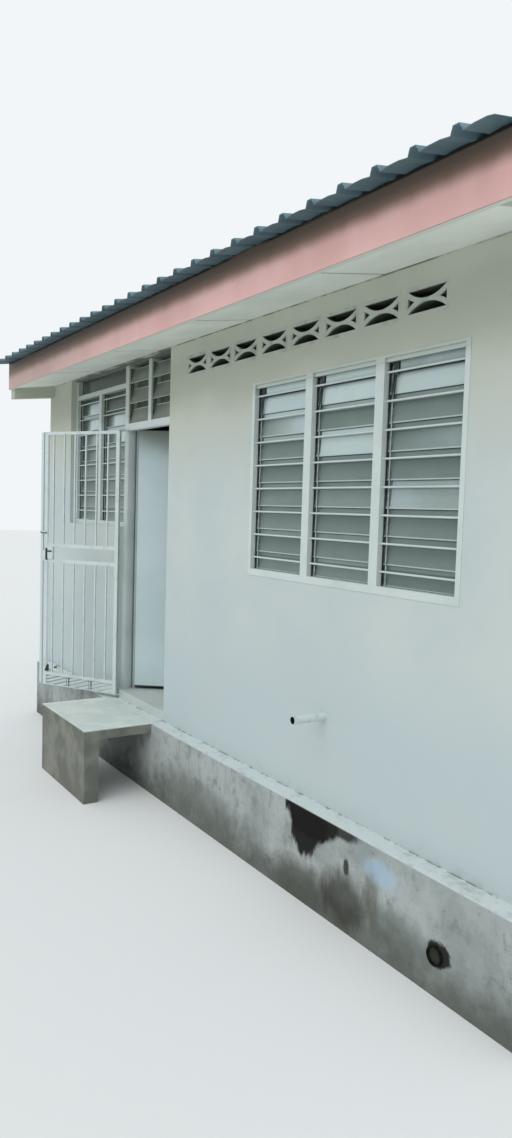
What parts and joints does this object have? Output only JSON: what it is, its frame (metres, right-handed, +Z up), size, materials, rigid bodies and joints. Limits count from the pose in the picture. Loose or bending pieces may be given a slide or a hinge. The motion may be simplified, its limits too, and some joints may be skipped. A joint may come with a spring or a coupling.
{
  "type": "single-storey terraced house",
  "caption": "Low terraced house between party walls: louvre windows, vent blocks, kitchen door with a steel security gate, ribbed metal roof on a high plinth.",
  "frame": {"origin": "middle of the plan, at the foot of the plinth", "axes": "+X along the row to the right as seen from the lane, +Y from the lane side to the street side, +Z up"},
  "size_m": [6.215, 11.86, 4.4258],
  "materials": {
    "wall_paint": "painted plaster, matt",
    "plinth_concrete": "stained concrete render",
    "floor_concrete": "trowelled concrete",
    "step_concrete": "worn concrete",
    "vent_block": "painted precast block",
    "frame_paint": "painted timber, gloss",
    "louvre_glass": "obscured glass",
    "louvre_channel": "dark weathered",
    "door_paint": "painted flush leaf",
    "door_steel": "satin",
    "gate_paint": "gloss enamel",
    "roof_steel": "weathered coated sheet",
    "purlin_timber": "sawn timber",
    "fascia_paint": "painted board",
    "soffit_board": "painted fibre cement",
    "pipe_plastic": "moulded"
  },
  "bodies": {
    "house": {"big_window_frame": "frame_paint", "big_window_louvres": "louvre_glass", "door_hinges": "door_steel", "doorstep_bearers": "step_concrete", "doorstep_slabs": "step_concrete", "eave_beams": "wall_paint", "entry_frame": "frame_paint", "entry_louvres": "louvre_glass", "fascia_boards": "fascia_paint", "fixed_light": "louvre_glass", "floor_slab": "floor_concrete", "front_door": "door_paint", "front_door_frame": "frame_paint", "front_louvre_channels": "louvre_channel", "front_louvres": "louvre_glass", "front_plinth": "plinth_concrete", "front_ring_beam": "wall_paint", "front_roof_sheet": "roof_steel", "front_vent_blocks": "vent_block", "front_vent_course": "wall_paint", "front_wall_panels": "wall_paint", "front_wall_piers": "wall_paint", "front_window_frame": "frame_paint", "gate_brackets": "gate_paint", "left_party_wall": "wall_paint", "louvre_channels": "louvre_channel", "overflow_pipe": "pipe_plastic", "party_plinths": "plinth_concrete", "rear_plinth": "plinth_concrete", "rear_ring_beam": "wall_paint", "rear_roof_sheet": "roof_steel", "rear_vent_blocks": "vent_block", "rear_vent_course": "wall_paint", "rear_wall_panels": "wall_paint", "rear_wall_piers": "wall_paint", "ridge_cap": "roof_steel", "right_party_wall": "wall_paint", "roof_purlins": "purlin_timber", "soffit_boards": "soffit_board"},
    "door_leaf": {"kitchen_door": "door_paint", "kitchen_door_fittings": "door_steel"},
    "gate": {"gate_frame": "gate_paint", "gate_bars": "gate_paint", "gate_kick_panel": "gate_paint", "gate_lock": "gate_paint"}
  },
  "joints": [
    {"name": "kitchen_door_swing", "type": "hinge", "parent": "house", "child": "door_leaf", "pos_m": [-1.26, -5.1435, 1.6], "axis": [0, 0, 1], "range_deg": [-53, 42]},
    {"name": "gate_swing", "type": "hinge", "parent": "house", "child": "gate", "pos_m": [-1.254, -5.336, 1.6], "axis": [0, 0, -1], "range_deg": [-149, 20]}
  ]
}
